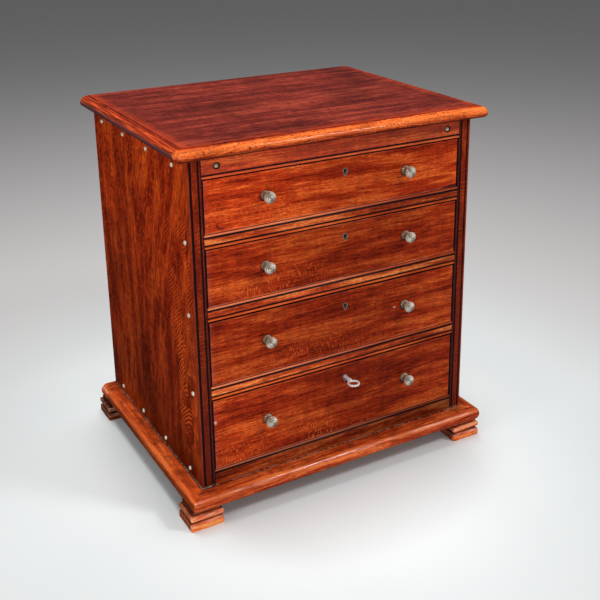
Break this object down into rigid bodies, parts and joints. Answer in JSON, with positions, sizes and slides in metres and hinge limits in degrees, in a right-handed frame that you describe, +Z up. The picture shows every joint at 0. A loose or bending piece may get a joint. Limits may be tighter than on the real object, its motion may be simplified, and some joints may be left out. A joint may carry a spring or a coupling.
{
  "type": "tabletop chest of drawers",
  "caption": "Small tabletop chest with reeded carcase edges, moulded top, half-round base on moulded block feet, and dovetailed drawers with turned knobs and locks.",
  "frame": {"origin": "on the ground, under the middle of the bounding box with the key in its lock", "axes": "+Z up, -Y is the way the drawers open, +X to the right of someone facing the front"},
  "size_m": [0.3808, 0.3094, 0.4129],
  "materials": {
    "mahogany": "french polished",
    "secondary_wood": "plain, aged",
    "nickel": "turned, worn polish",
    "brass": "aged",
    "steel": "dull, aged"
  },
  "bodies": {
    "carcase": {"top_board": "mahogany", "side_panel_left": "mahogany", "side_panel_right": "mahogany", "back_board": "secondary_wood", "bottom_board": "secondary_wood", "frieze_rail": "mahogany", "drawer_rail_1": "mahogany", "drawer_rail_2": "mahogany", "drawer_rail_3": "mahogany", "bottom_rail": "mahogany", "drawer_runners": "secondary_wood", "drawer_stops": "secondary_wood", "top_cleats": "secondary_wood", "base_front": "mahogany", "base_left": "mahogany", "base_right": "mahogany", "base_rear": "mahogany", "foot_front_left": "mahogany", "foot_front_right": "mahogany", "foot_rear_left": "mahogany", "foot_rear_right": "mahogany", "side_pins": "brass", "carcase_screws": "steel"},
    "drawer_1": {"drawer_1_front": "mahogany", "drawer_1_side_left": "secondary_wood", "drawer_1_side_right": "secondary_wood", "drawer_1_back": "secondary_wood", "drawer_1_bottom": "secondary_wood", "drawer_1_knobs": "nickel", "drawer_1_escutcheon": "steel", "drawer_1_lock_case": "steel"},
    "drawer_2": {"drawer_2_front": "mahogany", "drawer_2_side_left": "secondary_wood", "drawer_2_side_right": "secondary_wood", "drawer_2_back": "secondary_wood", "drawer_2_bottom": "secondary_wood", "drawer_2_knobs": "nickel", "drawer_2_escutcheon": "steel", "drawer_2_lock_case": "steel"},
    "drawer_3": {"drawer_3_front": "mahogany", "drawer_3_side_left": "secondary_wood", "drawer_3_side_right": "secondary_wood", "drawer_3_back": "secondary_wood", "drawer_3_bottom": "secondary_wood", "drawer_3_knobs": "nickel", "drawer_3_escutcheon": "steel", "drawer_3_lock_case": "steel"},
    "drawer_4": {"drawer_4_front": "mahogany", "drawer_4_side_left": "secondary_wood", "drawer_4_side_right": "secondary_wood", "drawer_4_back": "secondary_wood", "drawer_4_bottom": "secondary_wood", "drawer_4_knobs": "nickel", "drawer_4_escutcheon": "steel", "drawer_4_lock_case": "steel"},
    "bolt_1": {"drawer_1_lock_bolt": "steel"},
    "bolt_2": {"drawer_2_lock_bolt": "steel"},
    "bolt_3": {"drawer_3_lock_bolt": "steel"},
    "bolt_4": {"drawer_4_lock_bolt": "steel"},
    "key": {"key": "steel"}
  },
  "joints": [
    {"name": "drawer_1_slide", "type": "slide", "parent": "carcase", "child": "drawer_1", "axis": [0, -1, 0], "range_m": [0, 0.2]},
    {"name": "drawer_2_slide", "type": "slide", "parent": "carcase", "child": "drawer_2", "axis": [0, -1, 0], "range_m": [0, 0.2]},
    {"name": "drawer_3_slide", "type": "slide", "parent": "carcase", "child": "drawer_3", "axis": [0, -1, 0], "range_m": [0, 0.2]},
    {"name": "drawer_4_slide", "type": "slide", "parent": "carcase", "child": "drawer_4", "axis": [0, -1, 0], "range_m": [0, 0.2]},
    {"name": "bolt_1_throw", "type": "slide", "parent": "drawer_1", "child": "bolt_1", "axis": [0, 0, 1], "range_m": [0, 0.0042]},
    {"name": "bolt_2_throw", "type": "slide", "parent": "drawer_2", "child": "bolt_2", "axis": [0, 0, 1], "range_m": [0, 0.0042]},
    {"name": "bolt_3_throw", "type": "slide", "parent": "drawer_3", "child": "bolt_3", "axis": [0, 0, 1], "range_m": [0, 0.0042]},
    {"name": "bolt_4_throw", "type": "slide", "parent": "drawer_4", "child": "bolt_4", "axis": [0, 0, 1], "range_m": [0, 0.0042]},
    {"name": "key_turn", "type": "hinge", "parent": "drawer_4", "child": "key", "pos_m": [0.007, -0.12968, 0.1222], "axis": [0, -1, 0], "range_deg": [0, 75]}
  ],
  "couplings": [
    {"joint": "key_turn", "follows": "bolt_4_throw", "rad_per_m": 311.66}
  ]
}
